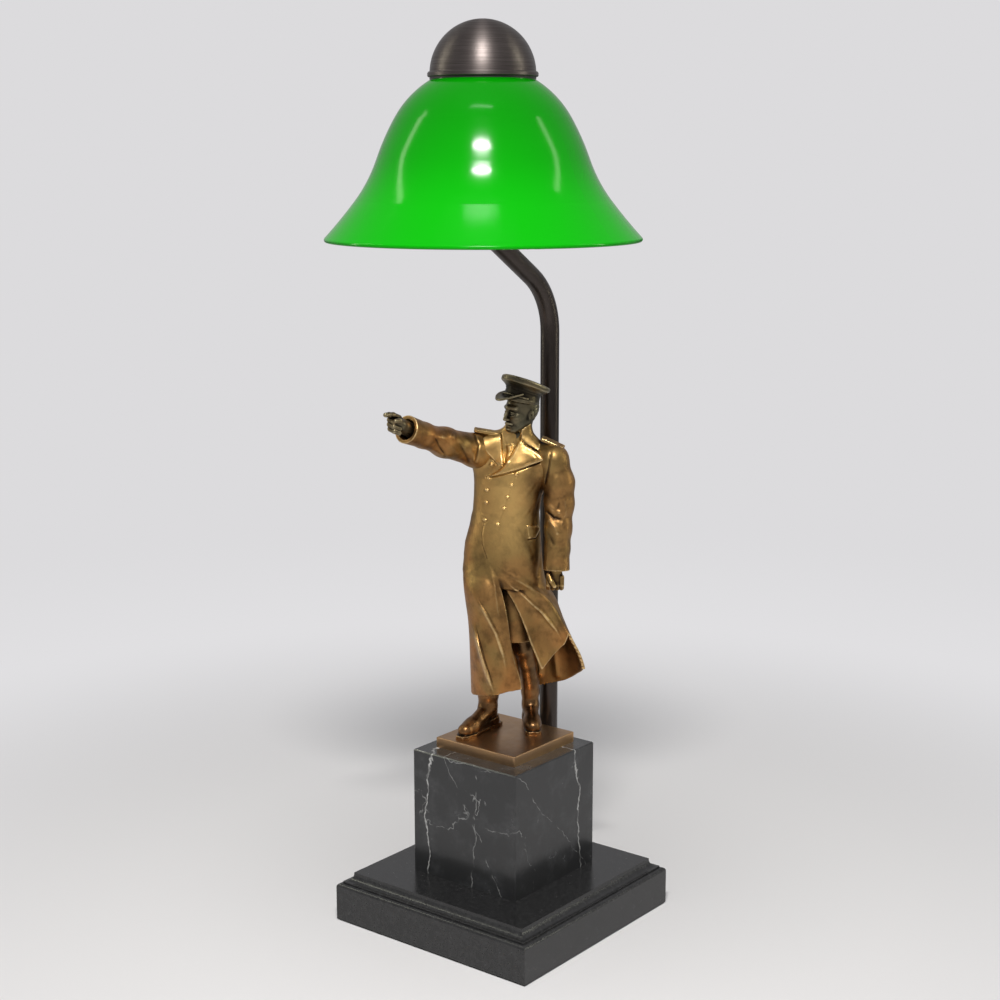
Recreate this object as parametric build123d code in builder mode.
"""Figural table lamp: bronze figure on a marble block, bent tube behind it, green bell shade above.

Frame: +Z up, front of the lamp towards -Y, origin at the middle of the underside. Millimetres.
"""

from build123d import *
import os
from math import atan2, cos, hypot, pi, radians, sin, sqrt, tan

# ------------------------------------------------------------- moulded slab
FELT_THICKNESS = 1.2
FELT_INSET = 4.0
SLAB_SIDE = 185.0
SIDE_TOP = 27.2              # top of the slab's plain upright side
EDGE_ROUND = 3.0             # quarter round above the plain side
TREAD = 0.8                  # flat between the round and the riser
RISER = 1.5
COVE_LEDGE = 0.6
COVE_R = 5.5                 # hollow moulding
TOP_ARRIS = 1.2              # short upright between the cove and the top face
GAP = 0.25                   # clearance between pieces that stand side by side

# ------------------------------------------------------------ marble block
BLOCK_SIDE = 100.0
BLOCK_HEIGHT = 98.6
BLOCK_ARRIS = 0.8
BLOCK_Y = 1.5                # the block stands slightly behind the slab's middle

# ------------------------------------------------- bronze plinth and tie rod
PLINTH_SIDE = 76.4
PLINTH_THICKNESS = 8.0
PLINTH_X, PLINTH_Y = -1.0, 4.5
PLINTH_EDGE = 1.0
ROD_R = 4.0
ROD_HOLE_R = 4.5
ROD_BITE = 6.5               # how far the tie rod screws into the plinth
ROD_RECESS_R = 13.0
ROD_RECESS_DEPTH = 12.0
ROD_WASHER_R, ROD_WASHER_T = 11.0, 1.6
ROD_NUT_AF, ROD_NUT_H = 13.0, 6.5
ROD_TAIL = 2.0
BOOT_SCREW_R = 2.0
BOOT_SCREW_HEAD_R = 3.8
BOOT_SCREW_HEAD_T = 2.2
BOOT_SCREW_BITE = 10.0       # how far each screw reaches into its boot

# ----------------------------------------------------- wiring pocket and inlet
POCKET_WIDTH = 34.0
POCKET_FRONT = 24.0
POCKET_BACK = 77.0
POCKET_DEPTH = 18.0
INLET_BORE_R = 3.5
INLET_HOLE_R = 5.0
INLET_FLANGE_R = 7.0
INLET_FLANGE_T = 1.5
INLET_Z = 11.0
TERMINAL_WIDTH = 18.0
TERMINAL_LENGTH = 12.0
TERMINAL_HEIGHT = 13.0
TERMINAL_GAP = 2.0           # between the block and the pocket's front wall
TERMINAL_SCREW_R = 1.5
WIRE_R = 0.95
WIRE_PITCH = 2.0
WIRE_BEND = 4.0
WIRE_DROP = 0.5              # straight stretch below the nipple

# ------------------------------------------------------------ bent tube (pole)
POLE_R = 7.25
NIPPLE_R = 5.0               # also the tube's bore, which is tapped for the nipples
NIPPLE_BORE_R = 3.4
NIPPLE_BITE = 10.0
NIPPLE_TAIL = 1.0
NIPPLE_HOLE_R = 5.4
POLE_NUT_AF, POLE_NUT_H = 14.0, 3.0
POLE_WASHER_R, POLE_WASHER_T = 10.0, 1.2
BEND_ANGLE = 57.0
LOWER_BEND_R = 52.0
UPPER_BEND_R = 32.0
BEND_START = 454.0           # height where the tube starts to lean forward
TUBE_STRAIGHT_TOP = 10.0
SHADE_Y = -22.0              # the shade hangs this far in front of the lamp's middle

# ------------------------------------------------------------------- lampholder
SADDLE_T = 1.5
SADDLE_WIDTH = 16.0
HOLDER_R = 13.5
HOLDER_WALL = 1.2
HOLDER_BASE_H = 18.0
HOLDER_SHELL_H = 25.0
HOLDER_NECK_R = 8.0
HOLDER_NECK_H = 4.0
HOLDER_SKIRT_H = 4.0         # upright part of the base below the shell
HOLDER_NIPPLE_RISE = 7.0
INSERT_TUCK = 6.0            # how far the porcelain reaches down into the base
INSERT_TUCK_R = 10.5
INSERT_FLOOR = 10.0          # porcelain under the lamp cap
SCREW_SHELL_R = 7.9
SCREW_SHELL_WALL = 0.7
SCREW_SHELL_H = 16.0
CONTACT_R, CONTACT_T = 2.6, 1.2

# ------------------------------------------------------------------------- bulb
BULB_CAP_R = 7.0
BULB_CAP_H = 18.0
BULB_R = 22.5
BULB_LENGTH = 73.0
BULB_NECK_R = 9.5
BULB_TIP_R = 2.4
BULB_TIP_H = 1.4
BULB_CLEARANCE = 0.2

# -------------------------------------------------------- bell shade and its carrier
SHADE_R = 114.6              # to the corner where the rim's round begins
RIM_Z = 528.8
SHADE_HEIGHT = 111.4         # rim to the top of the glass lip
GLASS_WALL = 3.4
RIM_SLOPE = 133.0            # direction of the wall as it leaves the rim, in degrees
# Where the bell's arcs meet: distance in from the rim, height above it
BELL_JOINTS = ((22.2, 26.3), (37.9, 55.3), (51.2, 84.5))
LIP_R = 30.5                 # hole in the top of the glass
LIP_OUTER_R = 38.0
LIP_T = 3.4
LIP_ARRIS = 0.6
CARRIER_R = 34.0
CARRIER_T = 1.6
UPRIGHT_R = 1.6
UPRIGHT_X = 29.0
SEAT_GAP = 0.2               # between the glass lip and the ring it rests on
STRAP_WIDTH = 10.0
STRAP_INSET = 1.3            # the strap stands this far inside the hole in the glass
STRAP_BEND = 5.0
STRAP_OVER_BULB = 2.5
STRAP_RISE = 6.0             # upright part of the strap above the glass
STRAP_SLOPE = 14.0           # how far in it has sloped where it turns level
STUD_R = 3.0
STUD_CLEARANCE = 0.1
STUD_SHORT = 4.0             # the stud ends this far under the dome's crown
STUD_END_GAP = 1.0           # depth left over the stud in the boss
GASKET_T = 1.4
GASKET_INNER_R = 31.5
GASKET_GAP = 0.1
DOME_R = 38.0
DOME_WALL = 1.2
DOME_RING_R = 39.6
DOME_RING_H = 3.6
DOME_LEDGE = 3.0             # flat ring inside the dome's mouth
DOME_LEVEL_BULB = 70.8       # over a bulb this long the dome would be a plain hemisphere
BOSS_R = 8.0

# ------------------------------------------------------------------ the figure
# Heights are above the plinth; x and y are the lamp's own.
BODY_YAW = 15.0              # the chest turns this far towards +X from straight ahead
HEAD_YAW = -15.0
# Greatcoat sections: height, x, y, half width, half depth, depth of the folds, reach of the
# wind-blown front towards the lamp's right rear, and tilt of the shoulders.
GREATCOAT = (
    (24.0, -4.4, 16.0, 29.5, 25.5, 1.9, 32.0, 0.0),
    (46.0, -4.6, 15.5, 30.0, 24.5, 1.8, 29.0, 0.0),
    (70.0, -4.4, 14.5, 31.0, 23.5, 1.6, 19.0, 0.0),
    (98.0, -5.0, 13.5, 32.0, 22.5, 1.2, 7.5, 0.0),
    (128.0, -9.2, 12.0, 32.0, 21.0, 0.6, 0.0, 0.0),
    (150.0, -8.6, 11.5, 30.7, 20.0, 0.3, 0.0, 0.0),
    (176.0, -5.7, 11.5, 26.5, 17.0, 0.0, 0.0, 0.0),
    (198.0, -3.6, 12.3, 28.0, 18.0, 0.0, 0.0, 0.0),
    (213.0, -2.0, 13.5, 31.0, 17.5, 0.0, 0.0, 4.0),
    (225.0, 1.0, 15.5, 31.5, 14.0, 0.0, 0.0, 9.0),
    (233.0, 1.5, 16.0, 22.0, 11.0, 0.0, 0.0, 10.0),
    (240.0, 2.0, 16.0, 12.0, 10.5, 0.0, 0.0, 8.0),
    (245.0, 3.0, 15.5, 11.0, 10.0, 0.0, 0.0, 0.0),
)
RING_POINTS = 24
FOLDS = 7
FOLD_TWIST = 30.0            # the folds lean one radian round the body in this height
WIND_AZIMUTH = 38.0          # the coat's open front blows this way, measured from +X to +Y
WIND_SPREAD = 3.0
# The hem seen square to the wind: distance along the wind, height
HEM_LINE = ((-60.0, 33.5), (-9.0, 34.6), (9.0, 36.3), (27.0, 40.2), (42.0, 45.8), (64.0, 56.0))
HEM_CUT_REACH = 90.0         # the hem's cut runs this far each way across the wind
HEM_WALL = 3.0
SKIRT_HOLLOW_TOP = 62.0      # the casting is open below this height
LEG_R = 6.4
TROUSER_R = 8.6
RIGHT_LEG = (-19.5, 8.5)     # where each leg meets the inside of the skirt
LEFT_LEG = (0.0, 29.0)
RIGHT_BOOT = {"heel": (-22.0, 20.0), "toe": (-20.5, -28.0)}
LEFT_BOOT = {"heel": (-7.0, 43.0), "toe": (17.5, 15.5)}
BOOT_WIDTH = 14.6
UPPER_WIDTH = 13.8
SOLE_T = 2.4
WELT = 0.75                  # the sole stands this far out past the upper
INSTEP_H = 20.0              # height of the upper before its side profile is cut
TOE_CAP_H = 7.5
ANKLE_SHARE = 0.26           # where the ankle stands between heel and toe
ANKLE_R = 6.9
ANKLE_RISE = 10.0
SHAFT_RISE = 20.0
TROUSER_HEM = 31.0
KNEE_RISE = 44.0
KNEE_SHARE = 0.3             # how far the trouser hem leans from the ankle towards the leg
# Stations along each sleeve: x, y, height, radius
RIGHT_SLEEVE = (
    (-15.0, 14.0, 219.0, 12.5),
    (-22.0, -6.0, 222.5, 12.9),
    (-25.0, -38.0, 233.0, 10.8),
    (-25.5, -62.0, 241.5, 8.9),
    (-25.5, -80.0, 248.0, 9.9),
)
LEFT_SLEEVE = (
    (22.0, 20.0, 226.0, 9.5),
    (32.0, 22.5, 218.0, 11.6),
    (35.0, 25.5, 183.0, 10.8),
    (36.5, 22.0, 146.0, 9.6),
    (37.0, 20.5, 131.5, 10.3),
)
CUFF_DEPTH = 9.0
CUFF_WALL = 1.8
RIGHT_FIST = (-25.0, -91.5, 252.0)
RIGHT_FINGERTIP = (-25.0, -104.0, 260.5)
LEFT_FIST = (36.0, 19.5, 122.5)
FIST_R = 6.6
FIST_THICKNESS = 9.9
KNUCKLE_ROUND = 1.5
WRIST_R = 4.6
FINGER_R = 1.9
FINGER_RISE = 3.0            # the pointing finger lies this far above the fist's middle
HEAD_X, HEAD_Y = 6.6, 14.2
CHIN = 237.5
NECK_R = 8.4
# Head sections: height above the chin, distance forward, half width, half depth
HEAD = (
    (0.0, 4.6, 5.0, 5.6),
    (3.5, 3.2, 7.6, 9.2),
    (9.0, 1.6, 9.6, 12.2),
    (16.0, 0.6, 11.0, 13.8),
    (23.0, 0.0, 11.6, 14.4),
    (29.0, -0.3, 11.5, 14.4),
)
NECK = (3.4, 15.4)
NECK_SINK = 6.0              # how far the neck goes down into the collar
NOSE_LENGTH = 8.0
NOSE_REACH = 3.0
NOSE_WIDTH = 3.4
NOSE_ROOT_SINK, NOSE_BASE_SINK = 0.4, 1.5
EAR_HEIGHT = 7.0
EAR_STANDOFF = 1.4
EAR_SETBACK = 1.5
CAP_TILT = 8.0               # the band sits this far back on the head, in degrees
CROWN_TILT = 5.0             # and the crown is raised that much more at the front
BAND_WIDTH, BAND_DEPTH = 12.9, 15.6
BAND_HEIGHT = 7.5
CROWN_WIDTH, CROWN_DEPTH = 17.4, 19.0
CROWN_RISE = 2.6
CROWN_EDGE = 3.2
VISOR_LENGTH = 5.5
VISOR_DROP = 30.0
VISOR_T = 1.2
CROWN_TOP_SHARE = 0.8        # the flat top is this much of the crown's width
CAP_TUCK = 1.5               # how far the cap comes down over the head

# ---------------------------------------------------------------- worked out
SLAB_TOP = SIDE_TOP + EDGE_ROUND + RISER + COVE_R + TOP_ARRIS
BLOCK_TOP = SLAB_TOP + BLOCK_HEIGHT
PLINTH_TOP = BLOCK_TOP + PLINTH_THICKNESS
POLE_Y = BLOCK_Y + BLOCK_SIDE / 2 + POLE_R + GAP
POCKET_CEILING = FELT_THICKNESS + POCKET_DEPTH
LEAN = radians(BEND_ANGLE)
BENDS = (LOWER_BEND_R + UPPER_BEND_R)
SLOPE_REACH = (POLE_Y - SHADE_Y) - BENDS * (1 - cos(LEAN))
BEND_END = BEND_START + BENDS * sin(LEAN) + SLOPE_REACH / tan(LEAN)
LOWER_CORNER = (POLE_Y, BEND_START + LOWER_BEND_R * tan(LEAN / 2))
UPPER_CORNER = (SHADE_Y, BEND_END - UPPER_BEND_R * tan(LEAN / 2))
TUBE_TOP = BEND_END + TUBE_STRAIGHT_TOP
HOLDER_BOTTOM = TUBE_TOP + SADDLE_T
SHELL_BOTTOM = HOLDER_BOTTOM + HOLDER_BASE_H
INSERT_BOTTOM = SHELL_BOTTOM - INSERT_TUCK
CAP_SEAT = INSERT_BOTTOM + INSERT_FLOOR
BULB_TIP_Z = CAP_SEAT + CONTACT_T + BULB_CLEARANCE
LIP_TOP = RIM_Z + SHADE_HEIGHT
LIP_BOTTOM = LIP_TOP - LIP_T
CARRIER_TOP = LIP_BOTTOM - SEAT_GAP
CARRIER_BOTTOM = CARRIER_TOP - CARRIER_T
GASKET_BOTTOM = LIP_TOP + GASKET_GAP
DOME_BASE = GASKET_BOTTOM + GASKET_T
DOME_RISE = BULB_LENGTH - DOME_LEVEL_BULB
DOME_CENTRE = DOME_BASE + DOME_RISE
STRAP_Z = BULB_TIP_Z + BULB_LENGTH + STRAP_OVER_BULB
STRAP_TOP = STRAP_Z + CARRIER_T
STUD_TOP = DOME_CENTRE + DOME_R - DOME_WALL - STUD_SHORT
TERMINAL_FRONT = POCKET_FRONT + TERMINAL_GAP

shade_axis = Axis((0, SHADE_Y, 0), (0, 0, 1))
side_view = Plane((0, SHADE_Y, 0), x_dir=(1, 0, 0), z_dir=(0, -1, 0))
back_face = Plane((0, SLAB_SIDE / 2, INLET_Z), x_dir=(1, 0, 0), z_dir=(0, 1, 0))

os.makedirs("parts", exist_ok=True)


def save(node, label):
    """Label a finished piece and write it under its own name."""
    node.part.label = label
    export_step(node.part, f"parts/{label}.step")


def level(height, x=0.0, y=0.0):
    """A level plane at one height, with its origin at x, y."""
    return Plane((x, y, height))


# =============================================================== moulded slab
def slab_section(plane):
    """Upright section of the slab on a plane through its middle: plain side, round, step and cove."""
    side = SLAB_SIDE / 2
    round_end = (side - EDGE_ROUND, SIDE_TOP + EDGE_ROUND)
    riser_foot = (round_end[0] - TREAD, round_end[1])
    riser_head = (riser_foot[0], riser_foot[1] + RISER)
    cove_foot = (riser_head[0] - COVE_LEDGE, riser_head[1])
    cove_head = (cove_foot[0] - COVE_R, cove_foot[1] + COVE_R)
    with BuildSketch(plane) as section:
        with BuildLine():
            Polyline((0, FELT_THICKNESS), (side, FELT_THICKNESS), (side, SIDE_TOP))
            CenterArc((side - EDGE_ROUND, SIDE_TOP), EDGE_ROUND, 0, 90)
            Polyline(round_end, riser_foot, riser_head, cove_foot)
            CenterArc((cove_foot[0], cove_head[1]), COVE_R, 180, 90)
            Polyline(cove_head, (cove_head[0], SLAB_TOP), (0, SLAB_TOP))
            mirror(about=Plane.YZ)
        make_face()
    return section.sketch


with BuildPart() as base_slab:
    # The same moulding runs along both directions and meets in mitred corners.
    extrude(slab_section(Plane.XZ.offset(-SLAB_SIDE / 2)), amount=SLAB_SIDE)
    extrude(slab_section(Plane.YZ.offset(-SLAB_SIDE / 2)), amount=SLAB_SIDE, mode=Mode.INTERSECT)
    # Recess under the slab for the tie rod's nut.
    with BuildSketch(level(FELT_THICKNESS, 0, BLOCK_Y)):
        Circle(ROD_RECESS_R)
    extrude(amount=ROD_RECESS_DEPTH, mode=Mode.SUBTRACT)
    # Pocket for the terminal block, the tube's nut and the flex.
    with BuildSketch(level(FELT_THICKNESS, 0, (POCKET_FRONT + POCKET_BACK) / 2)):
        RectangleRounded(POCKET_WIDTH, POCKET_BACK - POCKET_FRONT, 5)
    extrude(amount=POCKET_DEPTH, mode=Mode.SUBTRACT)
    with Locations((0, BLOCK_Y, SLAB_TOP)):
        Hole(ROD_HOLE_R)
    with Locations((0, POLE_Y, SLAB_TOP)):
        Hole(NIPPLE_HOLE_R)
    # Flex inlet through the back edge into the pocket.
    with BuildSketch(back_face):
        Circle(INLET_HOLE_R)
    extrude(amount=-(SLAB_SIDE / 2 - POCKET_BACK + 1), mode=Mode.SUBTRACT)
save(base_slab, "base_slab")

with BuildPart() as base_felt:
    with BuildSketch():
        RectangleRounded(SLAB_SIDE - 2 * FELT_INSET, SLAB_SIDE - 2 * FELT_INSET, 3)
    extrude(amount=FELT_THICKNESS)
save(base_felt, "base_felt")

with BuildPart() as inlet_grommet:
    with BuildSketch(back_face):
        Circle(INLET_HOLE_R)
    extrude(amount=-(SLAB_SIDE / 2 - POCKET_BACK))
    with BuildSketch(back_face):
        Circle(INLET_FLANGE_R)
    extrude(amount=INLET_FLANGE_T)
    fillet(inlet_grommet.edges().sort_by(Axis.Y)[-1], INLET_FLANGE_T / 2)
    with BuildSketch(back_face.offset(INLET_FLANGE_T)):
        Circle(INLET_BORE_R)
    extrude(amount=-(SLAB_SIDE / 2 - POCKET_BACK + INLET_FLANGE_T), mode=Mode.SUBTRACT)
save(inlet_grommet, "inlet_grommet")

with BuildPart() as marble_block:
    with BuildSketch(level(SLAB_TOP, 0, BLOCK_Y)):
        Rectangle(BLOCK_SIDE, BLOCK_SIDE)
    extrude(amount=BLOCK_HEIGHT)
    chamfer(marble_block.edges().filter_by(Axis.Z), BLOCK_ARRIS)
    chamfer(marble_block.faces().sort_by(Axis.Z)[-1].edges(), BLOCK_ARRIS)
    with Locations((0, BLOCK_Y, BLOCK_TOP)):
        Hole(ROD_HOLE_R)
save(marble_block, "marble_block")


# ==================================================== plinth, tie rod and nuts
def along_boot(boot, share):
    """A point in plan between a boot's heel (0) and toe (1)."""
    hx, hy = boot["heel"]
    tx, ty = boot["toe"]
    return hx + (tx - hx) * share, hy + (ty - hy) * share


ankles = [along_boot(boot, ANKLE_SHARE) for boot in (RIGHT_BOOT, LEFT_BOOT)]

with BuildPart() as figure_plinth:
    with BuildSketch(level(BLOCK_TOP, PLINTH_X, PLINTH_Y)):
        Rectangle(PLINTH_SIDE, PLINTH_SIDE)
    extrude(amount=PLINTH_THICKNESS)
    fillet(figure_plinth.edges().filter_by(Axis.Z), PLINTH_EDGE)
    fillet(figure_plinth.faces().sort_by(Axis.Z)[-1].edges(), PLINTH_EDGE * 0.8)
    with BuildSketch(level(BLOCK_TOP, 0, BLOCK_Y)):
        Circle(ROD_R)
    extrude(amount=ROD_BITE, mode=Mode.SUBTRACT)
    # Countersunk from below for the screws that hold the boots.
    with BuildSketch(level(BLOCK_TOP)):
        with Locations(*ankles):
            Circle(BOOT_SCREW_HEAD_R)
    extrude(amount=BOOT_SCREW_HEAD_T, mode=Mode.SUBTRACT)
    with BuildSketch(level(BLOCK_TOP)):
        with Locations(*ankles):
            Circle(BOOT_SCREW_R)
    extrude(amount=PLINTH_THICKNESS, mode=Mode.SUBTRACT)
save(figure_plinth, "figure_plinth")

with BuildPart() as boot_screws:
    with BuildSketch(level(BLOCK_TOP)):
        with Locations(*ankles):
            Circle(BOOT_SCREW_HEAD_R)
    extrude(amount=BOOT_SCREW_HEAD_T)
    with BuildSketch(level(BLOCK_TOP)):
        with Locations(*ankles):
            Circle(BOOT_SCREW_R)
    extrude(amount=PLINTH_THICKNESS + BOOT_SCREW_BITE)
save(boot_screws, "boot_screws")

recess_ceiling = FELT_THICKNESS + ROD_RECESS_DEPTH
rod_nut_bottom = recess_ceiling - ROD_WASHER_T - ROD_NUT_H

with BuildPart() as tie_rod:
    with BuildSketch(level(rod_nut_bottom - ROD_TAIL, 0, BLOCK_Y)):
        Circle(ROD_R)
    extrude(amount=BLOCK_TOP + ROD_BITE - rod_nut_bottom + ROD_TAIL)
    chamfer(tie_rod.edges().filter_by(GeomType.CIRCLE), 0.6)
save(tie_rod, "tie_rod")


def washer(radius, bore, thickness, bottom, y):
    """Flat washer standing on the lamp's middle plane."""
    with BuildPart() as disc:
        with BuildSketch(level(bottom, 0, y)):
            Circle(radius)
            Circle(bore, mode=Mode.SUBTRACT)
        extrude(amount=thickness)
    return disc


def hex_nut(flats, height, bore, bottom, y):
    """Hexagonal nut with its corners turned down, bored to its thread."""
    with BuildPart() as blank:
        with BuildSketch(level(bottom, 0, y)):
            RegularPolygon(flats / 2, 6, major_radius=False)
            Circle(flats / 2 / cos(radians(30)) - 0.4, mode=Mode.INTERSECT)
            Circle(bore, mode=Mode.SUBTRACT)
        extrude(amount=height)
    return blank


save(washer(ROD_WASHER_R, ROD_R, ROD_WASHER_T, recess_ceiling - ROD_WASHER_T, BLOCK_Y), "tie_rod_washer")
save(hex_nut(ROD_NUT_AF, ROD_NUT_H, ROD_R, rod_nut_bottom, BLOCK_Y), "tie_rod_nut")


# ================================================================== bent tube
def stem_corners(x, start, top):
    """Corner points of the stem's centre line: up, forward in a swan bend, and up again."""
    return (start, (x, *LOWER_CORNER), (x, *UPPER_CORNER), (x, SHADE_Y, top))


with BuildPart() as pole:
    with BuildLine():
        FilletPolyline(*stem_corners(0, (0, POLE_Y, SLAB_TOP), TUBE_TOP), radius=(LOWER_BEND_R, UPPER_BEND_R))
    with BuildSketch(level(SLAB_TOP, 0, POLE_Y)):
        Circle(POLE_R)
        Circle(NIPPLE_R, mode=Mode.SUBTRACT)
    sweep()
save(pole, "pole")

pole_washer_bottom = POCKET_CEILING - POLE_WASHER_T
pole_nut_bottom = pole_washer_bottom - POLE_NUT_H

with BuildPart() as pole_nipple:
    with BuildSketch(level(pole_nut_bottom - NIPPLE_TAIL, 0, POLE_Y)):
        Circle(NIPPLE_R)
        Circle(NIPPLE_BORE_R, mode=Mode.SUBTRACT)
    extrude(amount=SLAB_TOP + NIPPLE_BITE - pole_nut_bottom + NIPPLE_TAIL)
save(pole_nipple, "pole_nipple")

save(washer(POLE_WASHER_R, NIPPLE_R, POLE_WASHER_T, pole_washer_bottom, POLE_Y), "pole_washer")
save(hex_nut(POLE_NUT_AF, POLE_NUT_H, NIPPLE_R, pole_nut_bottom, POLE_Y), "pole_nut")

with BuildPart() as holder_nipple:
    with BuildSketch(level(TUBE_TOP - NIPPLE_BITE + 1, 0, SHADE_Y)):
        Circle(NIPPLE_R)
        Circle(NIPPLE_BORE_R, mode=Mode.SUBTRACT)
    extrude(amount=NIPPLE_BITE - 1 + SADDLE_T + HOLDER_NIPPLE_RISE)
save(holder_nipple, "holder_nipple")

# ================================================= stem wires and terminal block
wire_z = pole_nut_bottom - NIPPLE_TAIL - WIRE_DROP - WIRE_BEND
wire_start = TERMINAL_FRONT + TERMINAL_LENGTH

with BuildPart() as stem_wires:
    for x in (-WIRE_PITCH, 0, WIRE_PITCH):
        corners = stem_corners(x, (x, POLE_Y, wire_z), INSERT_BOTTOM)
        with BuildLine():
            FilletPolyline((x, wire_start, wire_z), *corners, radius=(WIRE_BEND, LOWER_BEND_R, UPPER_BEND_R))
        with BuildSketch(Plane((x, wire_start, wire_z), z_dir=(0, 1, 0))):
            Circle(WIRE_R)
        sweep()
save(stem_wires, "stem_wires")

with BuildPart() as terminal_block:
    underside = POCKET_CEILING - TERMINAL_HEIGHT
    with BuildSketch(level(underside, 0, TERMINAL_FRONT + TERMINAL_LENGTH / 2)):
        Rectangle(TERMINAL_WIDTH, TERMINAL_LENGTH)
    extrude(amount=TERMINAL_HEIGHT)
    # Screw wells along the underside, two for each wire.
    with BuildSketch(level(underside, 0, TERMINAL_FRONT + TERMINAL_LENGTH / 2)):
        with GridLocations(TERMINAL_WIDTH / 3, TERMINAL_LENGTH / 2, 3, 2):
            Circle(TERMINAL_SCREW_R)
    extrude(amount=TERMINAL_SCREW_R, mode=Mode.SUBTRACT)
save(terminal_block, "terminal_block")

# ================================================================== lampholder
throat = HOLDER_BOTTOM + HOLDER_NECK_H

skirt_bottom = SHELL_BOTTOM - HOLDER_SKIRT_H
holder_inside_r = HOLDER_R - HOLDER_WALL
neck_inside_r = HOLDER_NECK_R - HOLDER_WALL
neck_ledge = throat + HOLDER_WALL

with BuildPart() as holder_base:
    with BuildSketch(side_view):
        with BuildLine():
            Polyline((NIPPLE_R, HOLDER_BOTTOM), (HOLDER_NECK_R, HOLDER_BOTTOM), (HOLDER_NECK_R, throat))
            Spline((HOLDER_NECK_R, throat), (HOLDER_R, skirt_bottom), tangents=((0, 1), (0, 1)))
            Polyline((HOLDER_R, skirt_bottom), (HOLDER_R, SHELL_BOTTOM), (holder_inside_r, SHELL_BOTTOM),
                     (holder_inside_r, skirt_bottom))
            Spline((holder_inside_r, skirt_bottom), (neck_inside_r, neck_ledge), tangents=((0, -1), (0, -1)))
            Polyline((neck_inside_r, neck_ledge), (NIPPLE_R, neck_ledge), (NIPPLE_R, HOLDER_BOTTOM))
        make_face()
    revolve(axis=shade_axis)
save(holder_base, "holder_base")

with BuildPart() as holder_shell:
    with BuildSketch(level(SHELL_BOTTOM, 0, SHADE_Y)):
        Circle(HOLDER_R)
        Circle(HOLDER_R - HOLDER_WALL, mode=Mode.SUBTRACT)
    extrude(amount=HOLDER_SHELL_H)
    # Rolled bead at the mouth.
    with BuildSketch(side_view):
        with Locations((HOLDER_R - HOLDER_WALL / 2, SHELL_BOTTOM + HOLDER_SHELL_H)):
            Circle(HOLDER_WALL * 0.8)
    revolve(axis=shade_axis)
save(holder_shell, "holder_shell")

with BuildPart() as holder_insert:
    with BuildSketch(level(INSERT_BOTTOM, 0, SHADE_Y)):
        Circle(INSERT_TUCK_R)
    extrude(amount=INSERT_TUCK)
    with BuildSketch(level(SHELL_BOTTOM, 0, SHADE_Y)):
        Circle(HOLDER_R - HOLDER_WALL)
    extrude(amount=CAP_SEAT + SCREW_SHELL_H - SHELL_BOTTOM)
    with BuildSketch(level(CAP_SEAT, 0, SHADE_Y)):
        Circle(SCREW_SHELL_R)
    extrude(amount=SCREW_SHELL_H, mode=Mode.SUBTRACT)
save(holder_insert, "holder_insert")

with BuildPart() as holder_screw_shell:
    with BuildSketch(level(CAP_SEAT, 0, SHADE_Y)):
        Circle(SCREW_SHELL_R)
        Circle(SCREW_SHELL_R - SCREW_SHELL_WALL, mode=Mode.SUBTRACT)
    extrude(amount=SCREW_SHELL_H)
save(holder_screw_shell, "holder_screw_shell")

with BuildPart() as centre_contact:
    with BuildSketch(level(CAP_SEAT, 0, SHADE_Y)):
        Circle(CONTACT_R)
    extrude(amount=CONTACT_T)
save(centre_contact, "centre_contact")

# ======================================================================== bulb
bulb_cap_bottom = BULB_TIP_Z + BULB_TIP_H
bulb_cap_top = bulb_cap_bottom + BULB_CAP_H
bulb_centre = BULB_TIP_Z + BULB_LENGTH - BULB_R

with BuildPart() as bulb_cap:
    with BuildSketch(side_view):
        with BuildLine():
            Polyline((0, BULB_TIP_Z), (BULB_TIP_R, BULB_TIP_Z), (BULB_TIP_R + 0.8, bulb_cap_bottom),
                     (BULB_CAP_R, bulb_cap_bottom + 3), (BULB_CAP_R, bulb_cap_top), (0, bulb_cap_top),
                     close=True)
        make_face()
    revolve(axis=shade_axis)
save(bulb_cap, "bulb_cap")

with BuildPart() as bulb_glass:
    shoulder = radians(-48)
    join = (BULB_R * cos(shoulder), bulb_centre + BULB_R * sin(shoulder))
    neck = (BULB_NECK_R - 1.2, bulb_cap_top)
    with BuildSketch(side_view):
        with BuildLine():
            Line((0, bulb_cap_top), neck)
            Spline(neck, join, tangents=((0.25, 1), (-sin(shoulder), cos(shoulder))))
            ThreePointArc(join, (BULB_R, bulb_centre), (0, bulb_centre + BULB_R))
            Line((0, bulb_centre + BULB_R), (0, bulb_cap_top))
        make_face()
    revolve(axis=shade_axis)
save(bulb_glass, "bulb_glass")

# ======================================================= shade carrier and stud
with BuildPart() as shade_carrier:
    # Saddle strip clamped between the tube and the lampholder.
    with BuildSketch(level(TUBE_TOP, 0, SHADE_Y)):
        SlotOverall(2 * UPRIGHT_X + SADDLE_WIDTH, SADDLE_WIDTH)
        Circle(NIPPLE_R, mode=Mode.SUBTRACT)
    extrude(amount=SADDLE_T)
    # Two upright wires, one each side of the bulb.
    with BuildSketch(level(TUBE_TOP, 0, SHADE_Y)):
        with Locations((-UPRIGHT_X, 0), (UPRIGHT_X, 0)):
            Circle(UPRIGHT_R)
    extrude(amount=CARRIER_BOTTOM - TUBE_TOP)
    # Flat ring under the glass lip.
    with BuildSketch(level(CARRIER_BOTTOM, 0, SHADE_Y)):
        Circle(CARRIER_R)
        Circle(UPRIGHT_X - UPRIGHT_R, mode=Mode.SUBTRACT)
    extrude(amount=CARRIER_T)
save(shade_carrier, "shade_carrier")

strap_side = LIP_R - STRAP_INSET
strap_knee = DOME_BASE + STRAP_RISE
strap_flat = strap_side - STRAP_SLOPE

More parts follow.
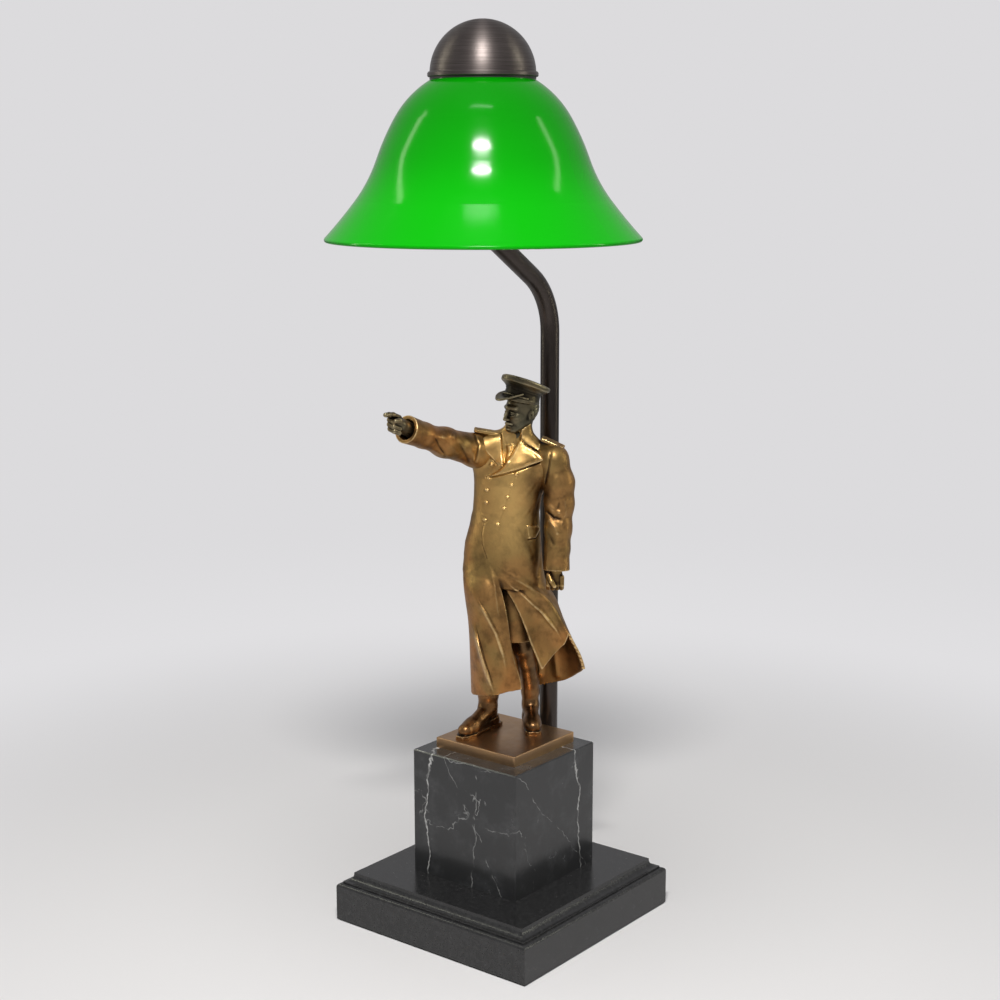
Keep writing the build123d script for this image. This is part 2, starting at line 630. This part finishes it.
with BuildPart() as cap_strap:
    with BuildSketch(side_view):
        with BuildLine() as strap_line:
            FilletPolyline(
                (-strap_side, CARRIER_TOP), (-strap_side, strap_knee), (-strap_flat, STRAP_TOP),
                (strap_flat, STRAP_TOP), (strap_side, strap_knee), (strap_side, CARRIER_TOP),
                radius=STRAP_BEND)
            offset(amount=CARRIER_T, side=Side.RIGHT)
        make_face()
    extrude(amount=STRAP_WIDTH / 2, both=True)
save(cap_strap, "cap_strap")

with BuildPart() as cap_stud:
    with BuildSketch(level(STRAP_TOP, 0, SHADE_Y)):
        Circle(STUD_R)
    extrude(amount=STUD_TOP - STRAP_TOP)
    chamfer(cap_stud.edges().sort_by(Axis.Z)[-1], 0.5)
save(cap_stud, "cap_stud")

# ================================================================== bell shade
with BuildPart() as shade_glass:
    flare = Vector(cos(radians(RIM_SLOPE)), sin(radians(RIM_SLOPE)))
    lip_corner = (LIP_OUTER_R, LIP_TOP - LIP_ARRIS)
    with BuildSketch(side_view):
        with BuildLine() as bell:
            # Tangent arcs from the rim up: flare, waist, breast and shoulder.
            start, heading = Vector(SHADE_R, RIM_Z), flare
            for in_from_rim, above_rim in BELL_JOINTS:
                arc = TangentArc(start, (SHADE_R - in_from_rim, RIM_Z + above_rim), tangent=heading)
                start, heading = arc @ 1, arc % 1
            TangentArc(start, lip_corner, tangent=heading)
            inner = offset(Wire(bell.edges()), amount=GLASS_WALL, side=Side.LEFT, closed=False,
                           mode=Mode.PRIVATE)
            add(inner)
            inner_ends = inner.vertices().sort_by(Axis.Y)
            inner_rim, inner_lip = inner_ends[0].center(), inner_ends[-1].center()
            # Fire-polished rim.
            rim = Vector(SHADE_R, RIM_Z)
            ThreePointArc(rim, (rim + inner_rim) / 2 - flare * GLASS_WALL / 2, inner_rim)
            # Flat lip, ground for the gasket above and the carrier ring below.
            Polyline(inner_lip, (CARRIER_R + 0.5, LIP_BOTTOM), (LIP_R, LIP_BOTTOM), (LIP_R, LIP_TOP),
                     (LIP_OUTER_R, LIP_TOP), lip_corner)
        make_face()
    revolve(axis=shade_axis)
save(shade_glass, "shade_glass")

save(washer(LIP_OUTER_R, GASKET_INNER_R, GASKET_T, GASKET_BOTTOM, SHADE_Y), "neck_gasket")

# ==================================================================== dome cap
ring_top = DOME_BASE + DOME_RING_H
ledge_r = DOME_R - DOME_WALL - DOME_LEDGE


def dome_arc(radius):
    """Quarter circle of the dome from the top of its ring to its crown."""
    foot = (sqrt(radius ** 2 - (ring_top - DOME_CENTRE) ** 2), ring_top)
    half_way = (radius * sin(pi / 4), DOME_CENTRE + radius * cos(pi / 4))
    return foot, half_way, (0, DOME_CENTRE + radius)


with BuildPart() as dome_cap:
    outer_arc = dome_arc(DOME_R)
    inner_arc = dome_arc(DOME_R - DOME_WALL)
    with BuildSketch(side_view):
        with BuildLine():
            Polyline((ledge_r, DOME_BASE), (DOME_RING_R - 0.6, DOME_BASE), (DOME_RING_R, DOME_BASE + 0.6),
                     (DOME_RING_R, ring_top - 1.0), (DOME_RING_R - 0.8, ring_top), outer_arc[0])
            ThreePointArc(*outer_arc)
            Line(outer_arc[2], inner_arc[2])
            ThreePointArc(*inner_arc)
            Polyline(inner_arc[0], (ledge_r, ring_top), (ledge_r, DOME_BASE))
        make_face()
    revolve(axis=shade_axis)
save(dome_cap, "dome_cap")

inside_of_dome = Pos(0, SHADE_Y, DOME_CENTRE) * Sphere(DOME_R - DOME_WALL)

with BuildPart() as cap_boss:
    boss_bottom = STRAP_TOP + GAP
    with BuildSketch(level(boss_bottom, 0, SHADE_Y)):
        Circle(BOSS_R)
        Circle(STUD_R + STUD_CLEARANCE, mode=Mode.SUBTRACT)
    extrude(amount=STUD_TOP + STUD_END_GAP - boss_bottom)
    with BuildSketch(level(STUD_TOP + STUD_END_GAP, 0, SHADE_Y)):
        Circle(BOSS_R)
    extrude(amount=DOME_CENTRE + DOME_R - STUD_TOP)
    add(inside_of_dome, mode=Mode.INTERSECT)
save(cap_boss, "cap_boss")


# ================================================================== the figure
def coat_ring(row, inset=0.0):
    """One closed section of the greatcoat: an oval with folds, drawn out on the windward side."""
    height, x, y, half_width, half_depth, fold, reach, tilt = row
    yaw = radians(BODY_YAW)
    wind = radians(WIND_AZIMUTH)
    points = []
    for k in range(RING_POINTS):
        turn = 2 * pi * k / RING_POINTS
        wave = 1 + (fold * cos(FOLDS * turn + height / FOLD_TWIST) - inset) / half_width
        across = half_width * wave * cos(turn)
        along = half_depth * wave * sin(turn)
        px = across * cos(yaw) - along * sin(yaw)
        py = across * sin(yaw) + along * cos(yaw)
        facing = max(0.0, cos(atan2(py, px) - wind))
        blown = max(0.0, reach - inset) * facing ** (2 * WIND_SPREAD)
        points.append((px + blown * cos(wind), py + blown * sin(wind)))
    plane = Plane((x, y, PLINTH_TOP + height)).rotated((0, tilt, 0))
    with BuildSketch(plane) as section:
        with BuildLine():
            Spline(*points, periodic=True)
        make_face()
    return section.sketch


def round_section(x, y, height, radius):
    """Circle for a loft, level with the plinth."""
    with BuildSketch(level(PLINTH_TOP + height, x, y)) as section:
        Circle(radius)
    return section.sketch


def sleeve(stations):
    """Loft circles square to a bent sleeve; the last one is the mouth of the cuff."""
    centres = [Vector(x, y, PLINTH_TOP + h) for x, y, h, _ in stations]
    sections = []
    for k, (*_, radius) in enumerate(stations):
        before = centres[max(k - 1, 0)]
        after = centres[min(k + 1, len(centres) - 1)]
        with BuildSketch(Plane(centres[k], z_dir=after - before)) as section:
            Circle(radius)
        sections.append(section.sketch)
    mouth = Plane(centres[-1], z_dir=centres[-1] - centres[-2])
    with BuildPart() as arm:
        loft(sections)
        with BuildSketch(mouth):
            Circle(stations[-1][3] - CUFF_WALL)
        extrude(amount=-CUFF_DEPTH, mode=Mode.SUBTRACT)
    return arm, mouth


def fist(centre, mouth):
    """Closed hand: a rounded block that reaches back into the cuff on a wrist."""
    hand = Vector(*centre[:2], PLINTH_TOP + centre[2])
    wrist = mouth.origin - mouth.z_dir * CUFF_DEPTH
    grip = Plane(hand, z_dir=mouth.z_dir)
    with BuildPart() as solid:
        with BuildSketch(grip.offset(-FIST_R)):
            RectangleRounded(2 * FIST_R, FIST_THICKNESS, FIST_THICKNESS / 3)
        extrude(amount=2 * FIST_R)
        outwards = solid.edges().sort_by(lambda edge: (edge.center() - hand).dot(mouth.z_dir))
        fillet(outwards[-8:], KNUCKLE_ROUND)
        with BuildSketch(Plane(wrist, z_dir=mouth.z_dir)):
            Circle(WRIST_R)
        extrude(amount=(hand - wrist).length - FIST_R / 2)
    return solid


def boot(ends, leg):
    """Boot with sole and heel, and the leg that runs up into the skirt."""
    ankle = along_boot(ends, ANKLE_SHARE)
    length = hypot(ends["toe"][0] - ends["heel"][0], ends["toe"][1] - ends["heel"][1])
    heading = Vector(ends["toe"][0] - ends["heel"][0], ends["toe"][1] - ends["heel"][1])
    middle = along_boot(ends, 0.5)
    foot = Plane((*middle, PLINTH_TOP), x_dir=heading, z_dir=(0, 0, 1))
    instep = Plane((*middle, PLINTH_TOP), x_dir=heading, z_dir=heading.cross(Vector(0, 0, 1)))
    with BuildPart() as solid:
        with BuildSketch(foot):
            SlotOverall(length, BOOT_WIDTH)
        extrude(amount=SOLE_T)
        # Upper: the foot's outline, cut to its side profile.
        with BuildSketch(foot.offset(SOLE_T)):
            SlotOverall(length - 2 * WELT, UPPER_WIDTH)
        extrude(amount=INSTEP_H)
        shin = (-length * 0.02, SOLE_T + INSTEP_H)
        lacing = (length * 0.22, (SOLE_T + INSTEP_H) / 2)
        toe_cap = (length * 0.42, TOE_CAP_H)
        toe_tip = (length / 2, SOLE_T)
        with BuildSketch(instep):
            with BuildLine():
                Polyline((-length / 2, 0), (-length / 2, shin[1]), shin)
                Spline(shin, lacing, toe_cap, toe_tip, tangents=((0.35, -1), (0.1, -1)))
                Polyline(toe_tip, (length / 2, 0), (-length / 2, 0))
            make_face()
        extrude(amount=BOOT_WIDTH, both=True, mode=Mode.INTERSECT)
        hem = [a + (b - a) * KNEE_SHARE for a, b in zip(ankle, leg)]
        loft([
            round_section(*ankle, ANKLE_RISE, ANKLE_R),
            round_section(*ankle, SHAFT_RISE, ANKLE_R),
            round_section(*hem, TROUSER_HEM, TROUSER_R),
            round_section(*leg, KNEE_RISE, LEG_R),
            round_section(*leg, SKIRT_HOLLOW_TOP, LEG_R),
        ])
        with BuildSketch(level(PLINTH_TOP, *ankle)):
            Circle(BOOT_SCREW_R)
        extrude(amount=BOOT_SCREW_BITE, mode=Mode.SUBTRACT)
    return solid


right_arm, right_cuff = sleeve(RIGHT_SLEEVE)
left_arm, left_cuff = sleeve(LEFT_SLEEVE)
save(right_arm, "figure_right_arm")
save(left_arm, "figure_left_arm")

right_hand = fist(RIGHT_FIST, right_cuff)
with BuildPart() as figure_right_hand:
    add(right_hand.part)
    knuckle = Vector(*RIGHT_FIST[:2], PLINTH_TOP + RIGHT_FIST[2] + FINGER_RISE)
    tip = Vector(*RIGHT_FINGERTIP[:2], PLINTH_TOP + RIGHT_FINGERTIP[2])
    with BuildSketch(Plane(knuckle, z_dir=tip - knuckle)):
        Circle(FINGER_R)
    extrude(amount=(tip - knuckle).length)
save(figure_right_hand, "figure_right_hand")
save(fist(LEFT_FIST, left_cuff), "figure_left_hand")
save(boot(RIGHT_BOOT, RIGHT_LEG), "figure_right_leg")
save(boot(LEFT_BOOT, LEFT_LEG), "figure_left_leg")

# Direction of the wind, along which the open front of the coat is drawn out.
wind_view = Plane((0, BLOCK_Y, PLINTH_TOP), x_dir=(cos(radians(WIND_AZIMUTH)), sin(radians(WIND_AZIMUTH)), 0),
                  z_dir=(sin(radians(WIND_AZIMUTH)), -cos(radians(WIND_AZIMUTH)), 0))

with BuildPart() as figure_coat:
    loft([coat_ring(row) for row in GREATCOAT])
    # Open, slanting hem.
    with BuildSketch(wind_view):
        with BuildLine():
            Spline(*HEM_LINE)
            Polyline(HEM_LINE[-1], (HEM_CUT_REACH, HEM_LINE[-1][1]), (HEM_CUT_REACH, 0),
                     (HEM_LINE[0][0], 0), HEM_LINE[0])
        make_face()
    extrude(amount=HEM_CUT_REACH, both=True, mode=Mode.SUBTRACT)
    # The casting is hollow under the skirt.
    hollow = [coat_ring(row, HEM_WALL) for row in GREATCOAT[:3]]
    with BuildPart(mode=Mode.PRIVATE) as core:
        loft(hollow)
        split(bisect_by=level(PLINTH_TOP + SKIRT_HOLLOW_TOP), keep=Keep.BOTTOM)
    add(core.part, mode=Mode.SUBTRACT)
    add(right_arm.part, mode=Mode.SUBTRACT)
    add(left_arm.part, mode=Mode.SUBTRACT)

# ------------------------------------------------------------- head and cap
look = Vector(sin(radians(HEAD_YAW)), -cos(radians(HEAD_YAW)), 0)
across = Vector(0, 0, 1).cross(look)


def head_plane(height, forward=0.0, tilt=0.0):
    """Plane across the head whose local y points where the face looks."""
    centre = Vector(HEAD_X, HEAD_Y, PLINTH_TOP + CHIN + height) + look * forward
    return Plane(centre, x_dir=-across, z_dir=(0, 0, 1)).rotated((tilt, 0, 0))


def oval(plane, half_width, half_depth):
    """Level oval through the head or the cap."""
    with BuildSketch(plane) as section:
        Ellipse(half_width, half_depth)
    return section.sketch


with BuildPart() as figure_head:
    loft([oval(head_plane(height, forward), width, depth) for height, forward, width, depth in HEAD])
    with BuildSketch(level(PLINTH_TOP + CHIN - NECK_SINK, *NECK)):
        Circle(NECK_R)
    extrude(amount=NECK_SINK + HEAD[3][0])
    # Nose, as a wedge on the face's middle line.
    root, face = HEAD[4][0], HEAD[3][1] + HEAD[3][3]
    with BuildSketch(Plane(head_plane(root).origin, x_dir=look, z_dir=-across)):
        with BuildLine():
            Polyline((0, 0), (face - NOSE_ROOT_SINK, 0), (face + NOSE_REACH, -NOSE_LENGTH),
                     (face - NOSE_BASE_SINK, -NOSE_LENGTH - NOSE_BASE_SINK), (0, -NOSE_LENGTH), close=True)
        make_face()
    extrude(amount=NOSE_WIDTH / 2, both=True)
    # Ears, flat against the sides.
    with BuildSketch(Plane(head_plane(HEAD[3][0]).origin, x_dir=look, z_dir=-across)):
        with Locations((-EAR_SETBACK, 0)):
            Ellipse(EAR_HEIGHT * 0.32, EAR_HEIGHT / 2)
    extrude(amount=HEAD[3][2] + EAR_STANDOFF, both=True)
save(figure_head, "figure_head")

with BuildPart() as figure_cap:
    brow = HEAD[-1][0] - CAP_TUCK
    crown_tilt = CAP_TILT + CROWN_TILT
    under_crown = brow + BAND_HEIGHT + CROWN_RISE
    loft([
        oval(head_plane(brow, 0, CAP_TILT), BAND_WIDTH, BAND_DEPTH),
        oval(head_plane(brow + BAND_HEIGHT, 0, CAP_TILT), BAND_WIDTH, BAND_DEPTH),
        oval(head_plane(under_crown, 0, crown_tilt), CROWN_WIDTH, CROWN_DEPTH),
        oval(head_plane(under_crown + CROWN_EDGE, 0, crown_tilt), CROWN_WIDTH, CROWN_DEPTH),
        oval(head_plane(under_crown + 1.5 * CROWN_EDGE, 0, crown_tilt), CROWN_WIDTH * CROWN_TOP_SHARE,
             CROWN_DEPTH * CROWN_TOP_SHARE),
    ], ruled=True)
    # Peak over the eyes.
    with BuildSketch(head_plane(brow, BAND_DEPTH * 0.5, CAP_TILT - VISOR_DROP)):
        Ellipse(BAND_WIDTH * 0.95, BAND_DEPTH * 0.5 + VISOR_LENGTH)
        with Locations((0, -BAND_DEPTH)):
            Rectangle(3 * BAND_WIDTH, 2 * BAND_DEPTH, mode=Mode.SUBTRACT)
    extrude(amount=VISOR_T)
    add(figure_head.part, mode=Mode.SUBTRACT)
save(figure_cap, "figure_cap")

# The collar is cut to the neck that stands in it.
with BuildPart() as fitted_coat:
    add(figure_coat.part)
    add(figure_head.part, mode=Mode.SUBTRACT)
save(fitted_coat, "figure_coat")
